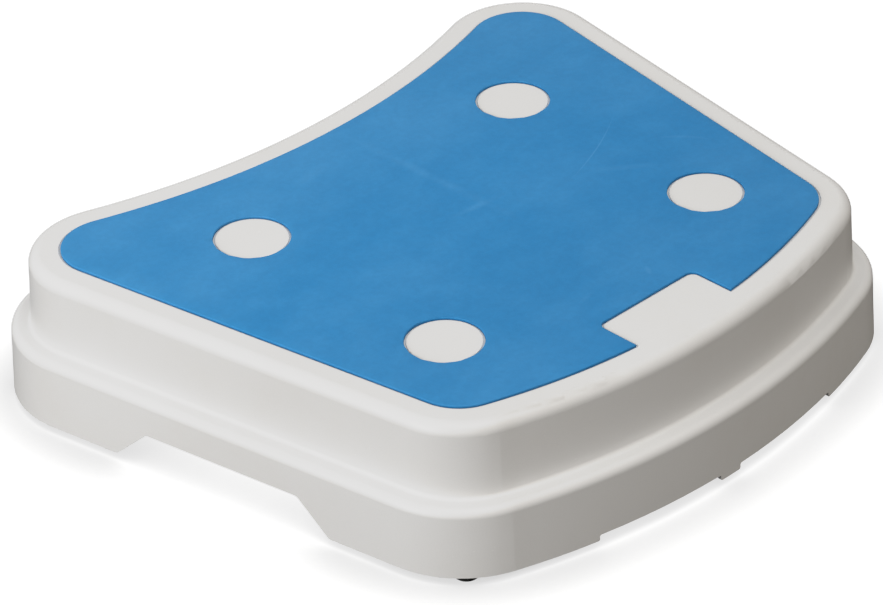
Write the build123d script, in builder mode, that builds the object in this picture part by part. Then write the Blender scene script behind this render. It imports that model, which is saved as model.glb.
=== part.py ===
from build123d import *
import os
from math import atan2, cos, degrees, radians, sin, sqrt, tan

# A low step for getting into a bath or a shower. One white moulding carries everything: a
# tread on an upper tier, a wider skirt under it, and a grid of ribs inside. A blue non-slip
# mat is stuck into a shallow recess in the tread, and four rubber feet are screwed up into
# bosses in the corners of the skirt.
#
# Millimetres. +Z is up and z = 0 is the floor. The step is symmetrical about x = 0. Its
# front edge bows outwards towards -Y, and its back edge bows inwards.

# Heights
overall_height = 102.5  # floor to the top of the mat
foot_stand = 5.2        # the feet hold the skirt this far off the floor
mat_proud = 1.2         # top of the mat above the tread around it
ledge_drop = 51.2       # top of the mat down to the ledge between the tiers

# Outline of the mat, which every other outline of the body follows
mat_width = 425.5
mat_depth = 348.3
corner_radius = 32.2
front_corner_x = 135.3
front_bow_radius = 437.2
back_bow_radius = 515.8

# How far each tier stands out from the mat's outline, and how its walls lean
tread_spread = 20.1
tread_draft = 2.6
ledge_spread = 34.9
skirt_draft = 2.6
tread_round = 7.8       # outer edge of the tread
ledge_round = 5.6       # outer edge of the ledge
root_round = 2.6        # inside corner between the upper wall and the ledge

# Moulding
wall = 2.6
deck = 3.0
rib = 2.2
rib_pitch = 44.0
rib_depth = 20.0
gusset_pitch = 88.0
gusset_bottom = 30.0    # above the floor, clear of the hand cut-outs

# Mat, its adhesive film, and the parts of the tread that show through it
mat_thickness = 2.0
film_thickness = 0.2
mat_gap = 1.2           # open joint all round the mat, the discs and the panel
film_inset = 0.4        # the film stops short of the edges of the mat
disc_radius = 23.2
disc_x = 115.3
disc_y = 85.0
panel_width = 81.1      # blank panel at the middle of the front edge
panel_back_y = -141.8
panel_round = 4.5
recess_edge = 0.4       # softened edges round the recess, the discs and the panel

# Cut-outs in the bottom edge of the skirt
hand_front_y = -81.0
hand_back_y = 79.6
hand_lean = 23.5        # how far each end of a hand cut-out leans in
hand_height = 21.5
hand_round = 4.5
notch_inner_x = 8.7
notch_outer_x = 103.0
notch_height = 4.0
notch_round = 1.2

# Feet, screws and washers
foot_radius = 8.0
foot_edge = 1.5
foot_inset = 2.9        # skirt's outer face to the nearest side of the foot
foot_seat = 2.5         # the foot's top above the bottom edge of the skirt
foot_bearing = 46.0     # direction from each corner's centre to its foot, from the X axis
boss_radius = 8.7
foot_bore_radius = 2.2
pocket_radius = 4.9
pocket_depth = 4.2
washer_radius = 4.5
washer_thickness = 0.8
head_radius = 4.0
head_height = 2.3
head_round = 0.9
shank_radius = 1.95
shank_length = 15.0
point_length = 3.0
point_angle = 30.0
pilot_radius = 2.0
pilot_depth = 16.0
cross_length = 4.6
cross_width = 1.1
cross_depth = 1.2

# Levels worked out from the driving dimensions
skirt_bottom = foot_stand
tread_z = overall_height - mat_proud
recess_z = overall_height - mat_thickness - film_thickness
ledge_z = overall_height - ledge_drop
seat_z = skirt_bottom + foot_seat
washer_z = pocket_depth - washer_thickness
head_z = washer_z - head_height
tread_base_spread = tread_spread + (tread_z - ledge_z) * tan(radians(tread_draft))
skirt_spread = ledge_spread + (ledge_z - skirt_bottom) * tan(radians(skirt_draft))

# Centres of the arcs of the outline, and the directions in which the arcs meet
back_corner = (mat_width / 2 - corner_radius, mat_depth / 2 - corner_radius)
front_bow_y = front_bow_radius - mat_depth / 2
front_reach = front_bow_radius - corner_radius
front_corner = (front_corner_x, front_bow_y - sqrt(front_reach**2 - front_corner_x**2))
back_reach = back_bow_radius + corner_radius
back_bow_y = back_corner[1] + sqrt(back_reach**2 - back_corner[0] ** 2)
side_run = (back_corner[0] - front_corner[0], back_corner[1] - front_corner[1])
side_angle = degrees(atan2(side_run[1], side_run[0])) - 90
back_angle = degrees(atan2(back_corner[1] - back_bow_y, back_corner[0]))
front_angle = degrees(atan2(front_corner[1] - front_bow_y, front_corner[0]))


def outline(spread):
    """The mat's outline moved outwards by spread: bowed front and back, straight sides."""
    corner = corner_radius + spread
    with BuildSketch() as shape:
        with BuildLine():
            CenterArc((0, front_bow_y), front_bow_radius + spread, -90, front_angle + 90)
            before = CenterArc(front_corner, corner, front_angle, side_angle - front_angle)
            behind = CenterArc(back_corner, corner, side_angle, back_angle + 180 - side_angle)
            Line(before @ 1, behind @ 0)
            CenterArc((0, back_bow_y), back_bow_radius - spread, back_angle, -90 - back_angle)
            mirror(about=Plane.YZ)
        make_face()
    return shape.sketch


def raised_areas(grow):
    """The four discs and the blank panel that come up through the mat, larger by grow."""
    panel_front_y = -mat_depth / 2 - corner_radius
    panel_length = panel_back_y - panel_front_y
    with BuildSketch() as areas:
        with GridLocations(2 * disc_x, 2 * disc_y, 2, 2):
            Circle(disc_radius + grow)
        with Locations((0, panel_front_y + panel_length / 2)):
            RectangleRounded(panel_width + 2 * grow, panel_length + 2 * grow, panel_round + grow)
    return areas.sketch


def skirt_cut(low, high, lean, height, rounding):
    """A cut-out upwards from the skirt's bottom edge, between low and high along that edge."""
    with BuildSketch() as cut:
        with BuildLine():
            Polyline(
                (low, skirt_bottom),
                (low + lean, skirt_bottom + height),
                (high - lean, skirt_bottom + height),
                (high, skirt_bottom),
                close=True,
            )
        make_face()
        with Locations(((low + high) / 2, skirt_bottom - rounding)):
            Rectangle(high - low + 4 * rounding, 2 * rounding)
        levels = cut.vertices().group_by(Axis.Y)
        fillet(levels[-1] + levels[1].sort_by(Axis.X)[1:3], rounding)
    return cut.sketch


def step_form(inset, roof_z):
    """The two-tier form with its walls moved inwards by inset and its top at roof_z."""
    shelf_z = ledge_z - inset
    with BuildPart() as skirt_tier:
        with BuildSketch(Plane.XY.offset(skirt_bottom)):
            add(outline(skirt_spread - inset))
        extrude(amount=shelf_z - skirt_bottom, taper=skirt_draft)
        fillet(skirt_tier.edges().group_by(Axis.Z)[-1], ledge_round - inset)
    with BuildPart() as tread_tier:
        with BuildSketch(Plane.XY.offset(shelf_z)):
            add(outline(tread_base_spread - inset))
        extrude(amount=roof_z - shelf_z, taper=tread_draft)
        fillet(tread_tier.edges().group_by(Axis.Z)[-1], tread_round - inset)
    with BuildPart() as form:
        add(skirt_tier.part)
        add(tread_tier.part)
        shelf = form.faces().filter_by(Axis.Z).group_by(Axis.Z)[1].face()
        fillet(shelf.inner_wires()[0].edges(), root_round + inset)
    return form.part


def foot_places():
    """The name and the centre of each foot, on the diagonal of its corner of the skirt."""
    reach = corner_radius + skirt_spread - foot_inset - foot_radius
    across = reach * cos(radians(foot_bearing))
    along = reach * sin(radians(foot_bearing))
    places = {}
    for side, sign in (("left", -1), ("right", 1)):
        places["foot_front_" + side] = (sign * (front_corner[0] + across), front_corner[1] - along)
        places["foot_back_" + side] = (sign * (back_corner[0] + across), back_corner[1] + along)
    return places


feet = foot_places()
upwards = (Align.CENTER, Align.CENTER, Align.MIN)
core = step_form(wall / 2, tread_z - wall / 2)

# Ribs under the deck, in a square grid, running out into the upper wall
with BuildPart() as ribs:
    with BuildSketch(Plane.XY.offset(recess_z - deck - rib_depth)):
        with GridLocations(rib_pitch, 0, 10, 1):
            Rectangle(rib, mat_depth + 2 * tread_spread)
        with GridLocations(0, rib_pitch, 1, 8):
            Rectangle(mat_width + 2 * tread_spread, rib)
    extrude(amount=rib_depth + deck / 2)
    add(core, mode=Mode.INTERSECT)

# Gussets between the upper wall and the skirt, above the hand cut-outs
with BuildPart() as gussets:
    with BuildSketch(Plane.XY.offset(gusset_bottom)):
        with GridLocations(gusset_pitch, 0, 5, 1):
            Rectangle(rib, mat_depth + 2 * skirt_spread)
        with GridLocations(0, gusset_pitch, 1, 3):
            Rectangle(mat_width + 2 * skirt_spread, rib)
        add(outline(tread_base_spread - wall), mode=Mode.SUBTRACT)
    extrude(amount=ledge_z - gusset_bottom)
    add(core, mode=Mode.INTERSECT)

# Bosses that take the foot screws, standing down from the ledge in the corners
with BuildPart() as bosses:
    with BuildSketch(Plane.XY.offset(seat_z)):
        with Locations(*feet.values()):
            Circle(boss_radius)
    extrude(amount=ledge_z - seat_z)
    add(core, mode=Mode.INTERSECT)

with BuildPart() as step_body:
    add(step_form(0, tread_z))
    add(step_form(wall, recess_z - deck), mode=Mode.SUBTRACT)
    add(ribs.part)
    add(gussets.part)
    add(bosses.part)
    # Recess for the mat, with the discs and the panel left standing in it
    with BuildSketch(Plane.XY.offset(recess_z)):
        add(outline(mat_gap))
        add(raised_areas(0), mode=Mode.SUBTRACT)
    extrude(amount=mat_thickness, mode=Mode.SUBTRACT)
    *discs, border = step_body.faces().filter_by(Axis.Z).group_by(Axis.Z)[-1].sort_by(SortBy.AREA)
    fillet(border.inner_wires()[0].edges() + ShapeList(discs).edges(), recess_edge)
    # Hand cut-outs through the left and right of the skirt
    with BuildSketch(Plane.YZ):
        add(skirt_cut(hand_front_y, hand_back_y, hand_lean, hand_height, hand_round))
    extrude(amount=mat_width, both=True, mode=Mode.SUBTRACT)
    # Two shallow notches with a tab between them, in the front and in the back of the skirt
    with BuildSketch(Plane.XZ):
        add(skirt_cut(notch_inner_x, notch_outer_x, 0, notch_height, notch_round))
        mirror(about=Plane.YZ)
    extrude(amount=mat_depth, both=True, mode=Mode.SUBTRACT)
    # Pilot holes for the foot screws
    with BuildSketch(Plane.XY.offset(seat_z)):
        with Locations(*feet.values()):
            Circle(pilot_radius)
    extrude(amount=pilot_depth, mode=Mode.SUBTRACT)

with BuildPart() as non_slip_mat:
    with BuildSketch(Plane.XY.offset(overall_height - mat_thickness)):
        add(outline(0))
        add(raised_areas(mat_gap), mode=Mode.SUBTRACT)
    extrude(amount=mat_thickness)

with BuildPart() as mat_adhesive:
    with BuildSketch(Plane.XY.offset(recess_z)):
        add(outline(-film_inset))
        add(raised_areas(mat_gap + film_inset), mode=Mode.SUBTRACT)
    extrude(amount=film_thickness)


def rubber_foot(x, y):
    """One foot: a plain round block with a pocket underneath for the washer and the screw."""
    with BuildPart(Plane((x, y, 0))) as foot:
        Cylinder(foot_radius, seat_z, align=upwards)
        fillet(foot.edges().group_by(Axis.Z)[0], foot_edge)
        Cylinder(foot_bore_radius, seat_z, align=upwards, mode=Mode.SUBTRACT)
        Cylinder(pocket_radius, pocket_depth, align=upwards, mode=Mode.SUBTRACT)
    return foot.part


with BuildPart() as foot_washers:
    with BuildSketch(Plane.XY.offset(washer_z)):
        with Locations(*feet.values()):
            Circle(washer_radius)
            Circle(foot_bore_radius, mode=Mode.SUBTRACT)
    extrude(amount=washer_thickness)

with BuildPart() as foot_screws:
    # Heads, rounded underneath, with a cross recess
    with BuildSketch(Plane.XY.offset(head_z)):
        with Locations(*feet.values()):
            Circle(head_radius)
    extrude(amount=head_height)
    fillet(foot_screws.edges().group_by(Axis.Z)[0], head_round)
    with BuildSketch(Plane.XY.offset(head_z)):
        with Locations(*feet.values()):
            Rectangle(cross_length, cross_width)
            Rectangle(cross_width, cross_length)
    extrude(amount=cross_depth, mode=Mode.SUBTRACT)
    # Shanks, ending in a point
    with BuildSketch(Plane.XY.offset(washer_z)):
        with Locations(*feet.values()):
            Circle(shank_radius)
    extrude(amount=shank_length)
    with BuildSketch(Plane.XY.offset(washer_z + shank_length)):
        with Locations(*feet.values()):
            Circle(shank_radius)
    extrude(amount=point_length, taper=point_angle)

nodes = {
    "step_body": step_body.part,
    "non_slip_mat": non_slip_mat.part,
    "mat_adhesive": mat_adhesive.part,
    "foot_washers": foot_washers.part,
    "foot_screws": foot_screws.part,
}
for name, (x, y) in feet.items():
    nodes[name] = rubber_foot(x, y)

os.makedirs("parts", exist_ok=True)
for name, piece in nodes.items():
    piece.label = name
    export_step(piece, "parts/" + name + ".step")
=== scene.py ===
import math

import bmesh
import bpy
from mathutils import Matrix, Vector, geometry, noise


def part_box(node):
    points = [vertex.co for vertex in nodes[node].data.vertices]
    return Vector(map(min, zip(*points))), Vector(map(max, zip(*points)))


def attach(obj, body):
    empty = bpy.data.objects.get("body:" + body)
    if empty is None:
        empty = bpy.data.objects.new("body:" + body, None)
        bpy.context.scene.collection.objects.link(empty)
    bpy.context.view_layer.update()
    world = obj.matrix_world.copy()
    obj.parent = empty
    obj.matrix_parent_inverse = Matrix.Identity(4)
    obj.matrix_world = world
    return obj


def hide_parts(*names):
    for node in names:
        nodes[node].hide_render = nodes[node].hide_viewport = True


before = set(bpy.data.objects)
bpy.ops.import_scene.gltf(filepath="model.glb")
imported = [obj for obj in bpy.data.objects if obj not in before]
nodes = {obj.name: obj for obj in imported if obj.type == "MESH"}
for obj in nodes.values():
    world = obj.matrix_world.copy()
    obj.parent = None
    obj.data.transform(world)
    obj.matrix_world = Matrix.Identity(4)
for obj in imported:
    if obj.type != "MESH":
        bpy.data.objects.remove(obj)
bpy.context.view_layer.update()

MM = 0.001
mat_low, mat_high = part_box("non_slip_mat")


# ---- Camera: the photograph's viewing angle ----

FRAME_WIDTH = 883
LENS_PIXELS = 4059.5
SENSOR_MM = 36.0
AZIMUTH = math.radians(-43.539)
ELEVATION = math.radians(32.872)
ROLL = math.radians(-2.004)
DISTANCE = 2.4480
AIM = Vector((-0.08810, -0.05484, mat_high[2]))


def add_camera():
    """The camera, aimed at a point on the mat a little to the front and left of its middle."""
    back = Vector((
        math.sin(AZIMUTH) * math.cos(ELEVATION),
        -math.cos(AZIMUTH) * math.cos(ELEVATION),
        math.sin(ELEVATION),
    ))
    right = (-back).cross(Vector((0, 0, 1))).normalized()
    up = right.cross(-back)
    turned_right = math.cos(ROLL) * right + math.sin(ROLL) * up
    turned_up = math.cos(ROLL) * up - math.sin(ROLL) * right
    data = bpy.data.cameras.new("camera")
    data.sensor_width = SENSOR_MM
    data.lens = LENS_PIXELS * SENSOR_MM / FRAME_WIDTH
    camera = bpy.data.objects.new("camera", data)
    bpy.context.collection.objects.link(camera)
    axes = Matrix((turned_right, turned_up, back)).transposed().to_4x4()
    camera.matrix_world = Matrix.Translation(AIM + back * DISTANCE) @ axes
    bpy.context.scene.camera = camera


add_camera()


# ---- Shader nodes, each made and wired in one call ----

def new_material(name):
    """An empty node material, and its tree and Principled shader."""
    material = bpy.data.materials.new(name)
    material.use_nodes = True
    return material, material.node_tree, material.node_tree.nodes["Principled BSDF"]


def shader_node(tree, kind, inputs, **settings):
    """A node with its settings, and its inputs set to values or wired to other nodes."""
    made = tree.nodes.new("ShaderNode" + kind)
    for name, value in settings.items():
        setattr(made, name, value)
    for key, value in inputs.items():
        if isinstance(value, bpy.types.NodeSocket):
            tree.links.new(value, made.inputs[key])
        else:
            made.inputs[key].default_value = value
    return made


def place_in_metres(tree):
    """Where a point is in the shared frame: every object here stands at the origin."""
    return shader_node(tree, "TexCoord", {}).outputs["Object"]


def clouds(tree, place, size, detail=3.0, stretch=(1, 1, 1)):
    """Soft noise from 0 to 1 whose blotches are about size metres across."""
    spread = [1 / (size * s) for s in stretch]
    scaled = shader_node(tree, "Mapping", {"Vector": place, "Scale": spread})
    made = shader_node(tree, "TexNoise", {"Vector": scaled.outputs[0], "Scale": 1.0, "Detail": detail})
    return made.outputs[0]


def remap(tree, value, low, high, to_low, to_high):
    """value from low..high to to_low..to_high, smoothly and never outside them."""
    inputs = {"Value": value, "From Min": low, "From Max": high, "To Min": to_low, "To Max": to_high}
    return shader_node(tree, "MapRange", inputs, interpolation_type="SMOOTHSTEP").outputs["Result"]


def math_of(tree, operation, first, second=0.0):
    return shader_node(tree, "Math", {0: first, 1: second}, operation=operation).outputs[0]


def product(tree, *factors):
    result = factors[0]
    for factor in factors[1:]:
        result = math_of(tree, "MULTIPLY", result, factor)
    return result


def blend_colour(tree, factor, first, second, blend_type="MIX"):
    """first turning into second as factor goes from 0 to 1."""
    made = shader_node(tree, "Mix", {}, data_type="RGBA", blend_type=blend_type)
    for key, value in ((0, factor), (6, first), (7, second)):
        if isinstance(value, bpy.types.NodeSocket):
            tree.links.new(value, made.inputs[key])
        else:
            made.inputs[key].default_value = value
    return made.outputs[2]


def dimmed(tree, colour, level):
    """colour times level, where level is a grey between 0 and a little over 1."""
    grey = shader_node(tree, "CombineColor", {0: level, 1: level, 2: level}).outputs[0]
    return blend_colour(tree, 1.0, colour, grey, "MULTIPLY")


def streak(tree, place, centre, turn, length, width, bend=0.0):
    """A mark from 1 along its middle to 0 at its rim: a lens shape, bent sideways by bend."""
    inputs = {
        "Vector": place,
        "Location": (centre[0], centre[1], 0),
        "Rotation": (0, 0, math.radians(turn)),
        "Scale": (length / 2, width / 2, 1),
    }
    local = shader_node(tree, "Mapping", inputs, vector_type="TEXTURE").outputs[0]
    axes = shader_node(tree, "SeparateXYZ", {0: local}).outputs
    arch = product(tree, axes[0], axes[0], bend / (width / 2))
    across = math_of(tree, "SUBTRACT", axes[1], arch)
    flat = shader_node(tree, "CombineXYZ", {0: axes[0], 1: across}).outputs[0]
    reach = shader_node(tree, "VectorMath", {0: flat}, operation="LENGTH").outputs["Value"]
    return remap(tree, reach, 0.0, 1.0, 1.0, 0.0)


def add_bump(tree, shader, height, strength, distance):
    made = shader_node(tree, "Bump", {"Height": height, "Strength": strength, "Distance": distance})
    tree.links.new(made.outputs[0], shader.inputs["Normal"])


def wire(tree, shader, name, output):
    tree.links.new(output, shader.inputs[name])


# ---- Materials ----

WHITE = (0.700, 0.697, 0.689, 1)
WHITE_SOILED = (0.660, 0.650, 0.630, 1)
WHITE_FLECK = (0.85, 0.85, 0.84, 1)
BLUE = (0.012, 0.187, 0.456, 1)
# the lighter blue stands for both real wear and a painted sheen on the mat's far part
BLUE_WORN_AND_SHEEN = (0.036, 0.232, 0.520, 1)
RUBBER = (0.0045, 0.0045, 0.0050, 1)
RUBBER_DUSTY = (0.022, 0.021, 0.020, 1)
STEEL = (0.60, 0.59, 0.57, 1)
STEEL_SPOTTED = (0.42, 0.41, 0.39, 1)
FILM = (0.52, 0.49, 0.40, 1)
FILM_MILKY = (0.62, 0.60, 0.53, 1)
FILM_BUBBLE = (0.75, 0.74, 0.70, 1)
GRAIN = 0.7 * MM
FLECKS_PER_METRE = (160, 160, 420)
BUBBLES_PER_METRE = 260.0
DUST_HEIGHT = 6 * MM
SOILED_HEIGHT = 45 * MM


def white_moulding():
    """Moulded polypropylene: a fine sandy grain, uneven gloss, a little soiling, and painted light that
    makes it paler at the back.
    """
    material, tree, shader = new_material("white_moulding")
    place = place_in_metres(tree)
    axes = shader_node(tree, "SeparateXYZ", {0: place}).outputs
    broad = clouds(tree, place, 90 * MM, detail=4.0)
    middling = clouds(tree, place, 14 * MM, detail=5.0)
    sand = clouds(tree, place, GRAIN, detail=2.0)
    low_down = remap(tree, axes[2], 0.0, SOILED_HEIGHT, 0.55, 0.0)
    soiling = math_of(tree, "MULTIPLY", remap(tree, broad, 0.38, 0.72, 0.0, 0.8), middling)
    soiled = math_of(tree, "ADD", soiling, product(tree, low_down, middling))
    colour = blend_colour(tree, soiled, WHITE, WHITE_SOILED)
    flattened = shader_node(tree, "Mapping", {"Vector": place, "Scale": FLECKS_PER_METRE})
    cells = shader_node(tree, "TexVoronoi", {"Vector": flattened.outputs[0], "Scale": 1.0})
    chosen = remap(tree, middling, 0.60, 0.68, 0.0, 1.0)
    fleck = product(tree, remap(tree, cells.outputs["Distance"], 0.05, 0.16, 0.35, 0.0), chosen)
    colour = blend_colour(tree, fleck, colour, WHITE_FLECK)
    # painted light: the body is made up to 5.5% paler towards the back, where the light falls more
    colour = dimmed(tree, colour, remap(tree, axes[1], -60 * MM, 120 * MM, 1.0, 1.055))
    colour = dimmed(tree, colour, remap(tree, sand, 0.25, 0.75, 0.985, 1.012))
    wire(tree, shader, "Base Color", colour)
    wire(tree, shader, "Roughness", remap(tree, middling, 0.3, 0.7, 0.38, 0.48))
    add_bump(tree, shader, sand, 0.10, 0.06 * MM)
    return material


# Marks on the mat: centre, turn in degrees, length, width, bend and how light each one is
RIB_LINES = (
    ((0.0108, 0.052), 91.0, 0.200, 0.012, 0.0, 0.55),
    ((0.0080, 0.0075), -6.0, 0.062, 0.009, 0.0, 0.60),
)
SCUFFS = (
    ((0.1070, 0.0015), 24.5, 0.108, 0.0016, 0.0052, 0.85),
    ((0.1020, -0.0280), -38.0, 0.062, 0.0100, 0.0, 0.35),
    ((0.1550, -0.0290), -50.0, 0.046, 0.0050, -0.004, 0.40),
    ((0.0230, -0.1215), 60.0, 0.013, 0.0050, 0.0, 0.75),
    ((-0.0250, -0.1150), 15.0, 0.020, 0.0050, 0.0, 0.30),
    ((-0.0400, 0.1120), 10.0, 0.040, 0.0140, 0.0, 0.45),
)


def blue_mat():
    """Soft blue foam rubber: cloudy with handling, with faint rib lines, scuffs and a scratch, and
    painted light: a sheen on its far part, lighter towards the back and darker towards the right.
    """
    material, tree, shader = new_material("blue_mat")
    place = place_in_metres(tree)
    axes = shader_node(tree, "SeparateXYZ", {0: place}).outputs
    broad = clouds(tree, place, 85 * MM, detail=5.0)
    cloudy = clouds(tree, place, 17 * MM, detail=6.0, stretch=(1.6, 1, 1))
    fine = clouds(tree, place, 4 * MM, detail=3.0)
    grain = clouds(tree, place, 0.9 * MM, detail=2.0)
    wear_and_sheen = remap(tree, broad, 0.35, 0.70, 0.0, 0.42)
    wear_and_sheen = math_of(tree, "ADD", wear_and_sheen, remap(tree, cloudy, 0.35, 0.72, 0.0, 0.34))
    # painted sheen: the far part of the mat is made lighter, the way grazing light shows it, not worn
    painted_back_sheen = remap(tree, axes[1], 0.0, 160 * MM, 0.0, 0.45)
    wear_and_sheen = math_of(tree, "ADD", wear_and_sheen, painted_back_sheen)
    breaks = remap(tree, cloudy, 0.30, 0.60, 0.35, 1.0)
    for centre, turn, length, width, bend, light in RIB_LINES:
        mark = streak(tree, place, centre, turn, length, width, bend)
        wear_and_sheen = math_of(tree, "ADD", wear_and_sheen, product(tree, mark, breaks, light))
    for centre, turn, length, width, bend, light in SCUFFS:
        mark = streak(tree, place, centre, turn, length, width, bend)
        wear_and_sheen = math_of(tree, "ADD", wear_and_sheen, product(tree, mark, light))
    colour = blend_colour(tree, wear_and_sheen, BLUE, BLUE_WORN_AND_SHEEN)
    # painted light and shade: the mat is made lighter towards the back and darker towards the right, as
    # the light falls across it
    painted_light_towards_back = remap(tree, axes[1], -110 * MM, 30 * MM, 0.965, 1.04)
    painted_shade_towards_right = remap(tree, axes[0], 40 * MM, 170 * MM, 1.0, 0.975)
    colour = dimmed(tree, colour, product(tree, painted_light_towards_back, painted_shade_towards_right))
    speckle = remap(tree, fine, 0.25, 0.75, 0.965, 1.035)
    colour = dimmed(tree, colour, speckle)
    colour = dimmed(tree, colour, remap(tree, grain, 0.25, 0.75, 0.975, 1.025))
    wire(tree, shader, "Base Color", colour)
    wire(tree, shader, "Roughness", remap(tree, cloudy, 0.3, 0.7, 0.60, 0.74))
    add_bump(tree, shader, grain, 0.25, 0.10 * MM)
    shader.inputs["Specular IOR Level"].default_value = 0.35
    return material


def black_rubber():
    """Moulded rubber: near black, dusty low down, with a fine grain."""
    material, tree, shader = new_material("black_rubber")
    place = place_in_metres(tree)
    height = shader_node(tree, "SeparateXYZ", {0: place}).outputs[2]
    dust = clouds(tree, place, 3 * MM, detail=4.0)
    grain = clouds(tree, place, 0.4 * MM, detail=2.0)
    dusty = product(tree, remap(tree, height, 0.0, DUST_HEIGHT, 0.8, 0.1), dust)
    wire(tree, shader, "Base Color", blend_colour(tree, dusty, RUBBER, RUBBER_DUSTY))
    wire(tree, shader, "Roughness", remap(tree, dust, 0.3, 0.7, 0.55, 0.75))
    add_bump(tree, shader, grain, 0.3, 0.05 * MM)
    return material


def stainless_steel():
    """Turned steel: fine rings of uneven gloss and a few darker spots."""
    material, tree, shader = new_material("stainless_steel")
    place = place_in_metres(tree)
    spots = clouds(tree, place, 2 * MM, detail=4.0)
    brushed = clouds(tree, place, 0.15 * MM, detail=2.0, stretch=(12, 1, 1))
    spotted = remap(tree, spots, 0.45, 0.75, 0.0, 1.0)
    wire(tree, shader, "Base Color", blend_colour(tree, spotted, STEEL, STEEL_SPOTTED))
    wire(tree, shader, "Roughness", remap(tree, brushed, 0.3, 0.7, 0.22, 0.42))
    add_bump(tree, shader, brushed, 0.08, 0.02 * MM)
    shader.inputs["Metallic"].default_value = 1.0
    return material


def adhesive_film():
    """Double-sided film: milky, with small bubbles."""
    material, tree, shader = new_material("adhesive_film")
    place = place_in_metres(tree)
    milky = clouds(tree, place, 12 * MM, detail=4.0)
    cells = shader_node(tree, "TexVoronoi", {"Vector": place, "Scale": BUBBLES_PER_METRE})
    bubbles = remap(tree, cells.outputs["Distance"], 0.08, 0.22, 0.5, 0.0)
    colour = blend_colour(tree, milky, FILM, FILM_MILKY)
    wire(tree, shader, "Base Color", blend_colour(tree, bubbles, colour, FILM_BUBBLE))
    wire(tree, shader, "Roughness", remap(tree, milky, 0.3, 0.7, 0.30, 0.55))
    add_bump(tree, shader, bubbles, 0.2, 0.03 * MM)
    return material


finishes = {
    "white_moulding": white_moulding(),
    "blue_mat": blue_mat(),
    "black_rubber": black_rubber(),
    "stainless_steel": stainless_steel(),
    "adhesive_film": adhesive_film(),
}
finish_of = {
    "step_body": "white_moulding",
    "non_slip_mat": "blue_mat",
    "mat_adhesive": "adhesive_film",
    "foot_washers": "stainless_steel",
    "foot_screws": "stainless_steel",
}
for name, node in nodes.items():
    for slot in node.material_slots:
        slot.material = finishes[finish_of.get(name, "black_rubber")]


# ---- The mat: its own mesh, with rounded edges and a surface that isn't dead flat ----

MAT_CORNER = 32.2 * MM
FRONT_CORNER_X = 135.3 * MM
FRONT_BOW = 437.2 * MM
BACK_BOW = 515.8 * MM
HOLE_RADIUS = 24.4 * MM
HOLE_X = 115.3 * MM
HOLE_Y = 85.0 * MM
NOTCH_HALF = 41.75 * MM
NOTCH_BACK_Y = -140.6 * MM
NOTCH_ROUND = 5.7 * MM
EDGE_ROUND = 0.5 * MM
EDGE_STEPS = 4
SPACING = 2.0 * MM
INNER_SPACING = 6.0 * MM
DIP = 0.12 * MM
DIP_SIZE = 40 * MM


def arc(centre, radius, start, end):
    """Evenly spaced points along an arc from one angle to another, without its last point."""
    count = max(2, math.ceil(abs(end - start) * radius / SPACING))
    angles = [start + (end - start) * i / count for i in range(count)]
    return [Vector((centre[0] + radius * math.cos(a), centre[1] + radius * math.sin(a))) for a in angles]


def run(first, last):
    """Evenly spaced points along a straight line, without its last point."""
    first, last = Vector(first), Vector(last)
    count = max(1, math.ceil((last - first).length / SPACING))
    return [first.lerp(last, i / count) for i in range(count)]


def mat_border():
    """The mat's outline, counter-clockwise, with the notch for the panel in its front edge."""
    half_width, half_depth = mat_high[0], mat_high[1]
    front_y = FRONT_BOW - half_depth
    front_reach = FRONT_BOW - MAT_CORNER
    front_corner = (FRONT_CORNER_X, front_y - math.sqrt(front_reach ** 2 - FRONT_CORNER_X ** 2))
    back_corner = (half_width - MAT_CORNER, half_depth - MAT_CORNER)
    back_reach = BACK_BOW + MAT_CORNER
    back_y = back_corner[1] + math.sqrt(back_reach ** 2 - back_corner[0] ** 2)
    side = math.atan2(back_corner[1] - front_corner[1], back_corner[0] - front_corner[0]) - math.pi / 2
    front_turn = math.atan2(front_corner[1] - front_y, front_corner[0])
    back_turn = math.atan2(back_corner[1] - back_y, back_corner[0])
    notch_turn = -math.acos(NOTCH_HALF / FRONT_BOW)
    notch_y = front_y + FRONT_BOW * math.sin(notch_turn)
    notch_corner = (NOTCH_HALF - NOTCH_ROUND, NOTCH_BACK_Y - NOTCH_ROUND)
    lead = Vector((math.cos(side), math.sin(side))) * MAT_CORNER
    half = run((0, NOTCH_BACK_Y), (notch_corner[0], NOTCH_BACK_Y))
    half += arc(notch_corner, NOTCH_ROUND, math.pi / 2, 0)
    half += run((NOTCH_HALF, notch_corner[1]), (NOTCH_HALF, notch_y))
    half += arc((0, front_y), FRONT_BOW, notch_turn, front_turn)
    half += arc(front_corner, MAT_CORNER, front_turn, side)
    half += run(Vector(front_corner) + lead, Vector(back_corner) + lead)
    half += arc(back_corner, MAT_CORNER, side, back_turn + math.pi)
    half += arc((0, back_y), BACK_BOW, back_turn, -math.pi / 2)
    back_middle = Vector((0, back_y - BACK_BOW))
    other_half = [Vector((-p[0], p[1])) for p in reversed(half[1:])]
    return half + [back_middle] + other_half


def inwards(loop):
    """At each point of a loop, the way into the mat, longer at a sharp corner."""
    ways = []
    for i, point in enumerate(loop):
        before = (point - loop[i - 1]).normalized()
        after = (loop[(i + 1) % len(loop)] - point).normalized()
        across = Vector((-before[1] - after[1], before[0] + after[0]))
        ways.append(across.normalized() * 2 / max(across.length, 1.2))
    return ways


def inside(point, loop):
    """Whether a point is inside a closed loop."""
    result = False
    for i, b in enumerate(loop):
        a = loop[i - 1]
        if (a[1] > point[1]) != (b[1] > point[1]):
            if point[0] < a[0] + (point[1] - a[1]) * (b[0] - a[0]) / (b[1] - a[1]):
                result = not result
    return result


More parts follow.
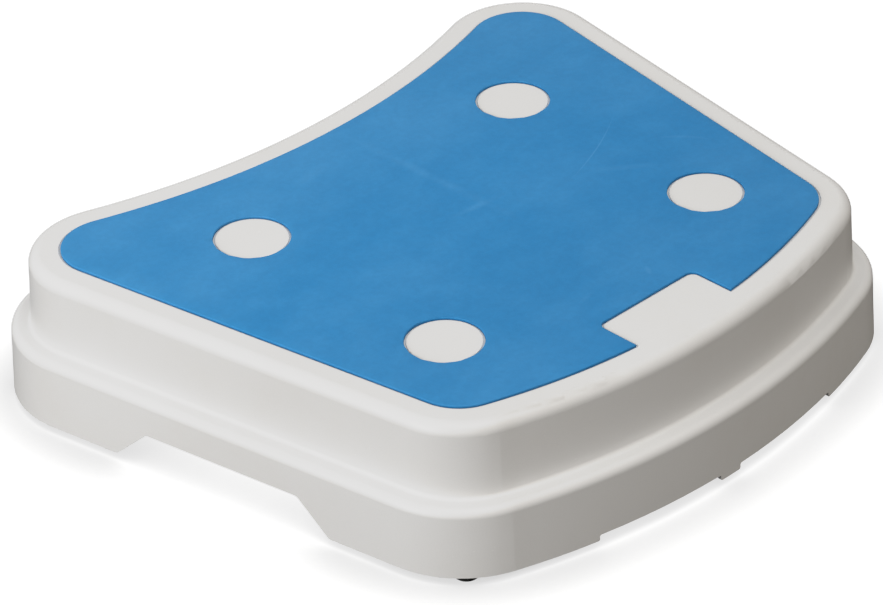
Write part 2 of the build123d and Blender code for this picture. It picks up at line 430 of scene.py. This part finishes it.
def build_mat():
    """The mat as one closed mesh: a finely divided top, rounded edges, walls and a flat back."""
    hole_centres = [Vector((sx * HOLE_X, sy * HOLE_Y)) for sx in (-1, 1) for sy in (-1, 1)]
    border = mat_border()
    holes = [arc(centre, HOLE_RADIUS, 2 * math.pi, 0) for centre in hole_centres]
    loops = [border] + holes
    profile = [(0.0, mat_low[2])]
    for step in range(EDGE_STEPS + 1):
        turn = math.pi / 2 * step / EDGE_STEPS
        drop = EDGE_ROUND * (1 - math.sin(turn))
        profile.append((EDGE_ROUND * (1 - math.cos(turn)), mat_high[2] - drop))
    mesh = bmesh.new()
    rims = []
    for loop in loops:
        ways = inwards(loop)
        rings = []
        for inset, z in profile:
            flat = [point + way * inset for point, way in zip(loop, ways)]
            rings.append([mesh.verts.new((p[0], p[1], z)) for p in flat])
        for lower, upper in zip(rings, rings[1:]):
            for i in range(len(loop)):
                mesh.faces.new((lower[i - 1], lower[i], upper[i], upper[i - 1]))
        rims.append((rings[0], rings[-1]))
    clear = INNER_SPACING * 0.6
    grown = [arc(centre, HOLE_RADIUS + clear, 0, 2 * math.pi) for centre in hole_centres]
    pulled = [p + way * clear for p, way in zip(border, inwards(border))]
    columns = int(mat_high[0] / INNER_SPACING) + 1
    rows = int(mat_high[1] / INNER_SPACING) + 1
    middle = []
    for row in range(-rows, rows + 1):
        for column in range(-columns, columns + 1):
            point = Vector(((column + row % 2 / 2) * INNER_SPACING, row * INNER_SPACING))
            if inside(point, pulled) and not any(inside(point, g) for g in grown):
                middle.append(point)
    for level, extra in ((0, []), (1, middle)):
        corners = [v for rim in rims for v in rim[level]]
        points = [v.co.xy for v in corners] + extra
        z = corners[0].co[2]
        corners += [mesh.verts.new((p[0], p[1], z)) for p in extra]
        edges = []
        first = 0
        for rim in rims:
            count = len(rim[level])
            edges += [(first + i, first + (i + 1) % count) for i in range(count)]
            first += count
        result = geometry.delaunay_2d_cdt(points, edges, [], 1, 1e-9)
        sources = [origin[0] for origin in result[3]]
        for face in result[2]:
            trio = [corners[sources[i]] for i in face]
            centre = sum((v.co.xy for v in trio), Vector((0, 0))) / 3
            if all((centre - hole).length > HOLE_RADIUS for hole in hole_centres):
                mesh.faces.new(trio)
    top = mat_high[2] - EDGE_ROUND
    for vert in mesh.verts:
        if vert.co[2] > top:
            wave = noise.noise(vert.co / DIP_SIZE) + 0.5 * noise.noise(vert.co / DIP_SIZE * 2.3)
            vert.co[2] -= DIP * min(max(0.5 + wave, 0), 1)
    bmesh.ops.recalc_face_normals(mesh, faces=mesh.faces)
    data = bpy.data.meshes.new("mat_sheet")
    mesh.to_mesh(data)
    mesh.free()
    for face in data.polygons:
        face.use_smooth = True
    data.materials.append(finishes["blue_mat"])
    sheet = bpy.data.objects.new("mat_sheet", data)
    bpy.context.collection.objects.link(sheet)
    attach(sheet, "root")
    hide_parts("non_slip_mat")


build_mat()


# ---- Floor and light: a white floor, an even sky, and soft lamps from the left and overhead ----

FLOOR_SIZE = 12.0
FLOOR_GREY = (0.25, 0.25, 0.25, 1)
SHADOW_REACH = 60 * MM
SHADOW_TONE = 0.62
OPEN_TONE = 1.60
KEY_AZIMUTH = math.radians(178)
KEY_ELEVATION = math.radians(23)
KEY_DISTANCE = 2.2
KEY_SIZE = 1.2
KEY_POWER = 29.5
KEY_COLOUR = (1.0, 0.99, 0.98)
OVERHEAD_AZIMUTH = math.radians(-106)
OVERHEAD_ELEVATION = math.radians(67)
OVERHEAD_DISTANCE = 2.5
OVERHEAD_SIZE = 1.5
OVERHEAD_POWER = 19.0
OVERHEAD_COLOUR = (1.0, 1.0, 1.0)
DOME = 0.56
SKY = (1.0, 1.0, 1.0, 1)
SKY_FRONT_RIGHT = (0.98, 0.89, 0.77, 1)
# How the brightest tones are held back, as light in and light out; the rest is left alone
SHOULDER = ((0.62, 0.62), (0.72, 0.70), (0.82, 0.74), (0.95, 0.77), (1.10, 0.80), (1.40, 0.90))
FULL_WHITE = 1.6


def floor_white():
    """A pale floor, lit from within so that it reads white, a little darker close to the step."""
    material, tree, shader = new_material("floor_white")
    near = shader_node(tree, "AmbientOcclusion", {"Distance": SHADOW_REACH}, samples=16)
    tone = remap(tree, near.outputs["AO"], 0.45, 1.0, SHADOW_TONE, OPEN_TONE)
    grey = shader_node(tree, "CombineColor", {0: tone, 1: tone, 2: tone}).outputs[0]
    shader.inputs["Base Color"].default_value = FLOOR_GREY
    shader.inputs["Roughness"].default_value = 0.9
    shader.inputs["Emission Strength"].default_value = 1.0
    wire(tree, shader, "Emission Color", grey)
    return material


def add_floor():
    bpy.ops.mesh.primitive_plane_add(size=FLOOR_SIZE)
    floor = bpy.context.object
    floor.name = "floor"
    floor.data.materials.append(floor_white())
    floor.visible_diffuse = False
    floor.visible_glossy = False


def add_area(name, azimuth, elevation, distance, size, power, colour):
    """A round soft lamp that faces the step."""
    data = bpy.data.lights.new(name, "AREA")
    data.shape = "DISK"
    data.size = size
    data.energy = power
    data.color = colour
    light = bpy.data.objects.new(name, data)
    bpy.context.collection.objects.link(light)
    away = Vector((
        math.cos(azimuth) * math.cos(elevation),
        math.sin(azimuth) * math.cos(elevation),
        math.sin(elevation),
    ))
    light.location = away * distance
    light.rotation_euler = away.to_track_quat("Z", "Y").to_euler()


def add_world():
    """An even sky over the upper half only, a little warmer and darker to the front right."""
    world = bpy.data.worlds.new("studio")
    bpy.context.scene.world = world
    world.use_nodes = True
    tree = world.node_tree
    way = shader_node(tree, "TexCoord", {}).outputs["Generated"]
    axes = shader_node(tree, "SeparateXYZ", {0: way}).outputs
    front_right = math_of(tree, "SUBTRACT", product(tree, axes[0], 0.5), product(tree, axes[1], 0.85))
    warm = remap(tree, front_right, -0.2, 0.9, 0.0, 1.0)
    colour = blend_colour(tree, warm, SKY, SKY_FRONT_RIGHT)
    upper = remap(tree, axes[2], -0.02, 0.02, 0.0, 1.0)
    background = tree.nodes["Background"]
    tree.links.new(dimmed(tree, colour, upper), background.inputs["Color"])
    background.inputs["Strength"].default_value = DOME


def set_tones():
    """The plain view transform, with a soft shoulder under the brightest tones."""
    view = bpy.context.scene.view_settings
    view.view_transform = "Standard"
    view.use_curve_mapping = True
    view.curve_mapping.white_level = (FULL_WHITE, FULL_WHITE, FULL_WHITE)
    for light_in, light_out in SHOULDER:
        view.curve_mapping.curves[3].points.new(light_in / FULL_WHITE, light_out)
    view.curve_mapping.update()


add_floor()
add_area("key", KEY_AZIMUTH, KEY_ELEVATION, KEY_DISTANCE, KEY_SIZE, KEY_POWER, KEY_COLOUR)
add_area(
    "overhead", OVERHEAD_AZIMUTH, OVERHEAD_ELEVATION, OVERHEAD_DISTANCE, OVERHEAD_SIZE, OVERHEAD_POWER,
    OVERHEAD_COLOUR)
add_world()
set_tones()
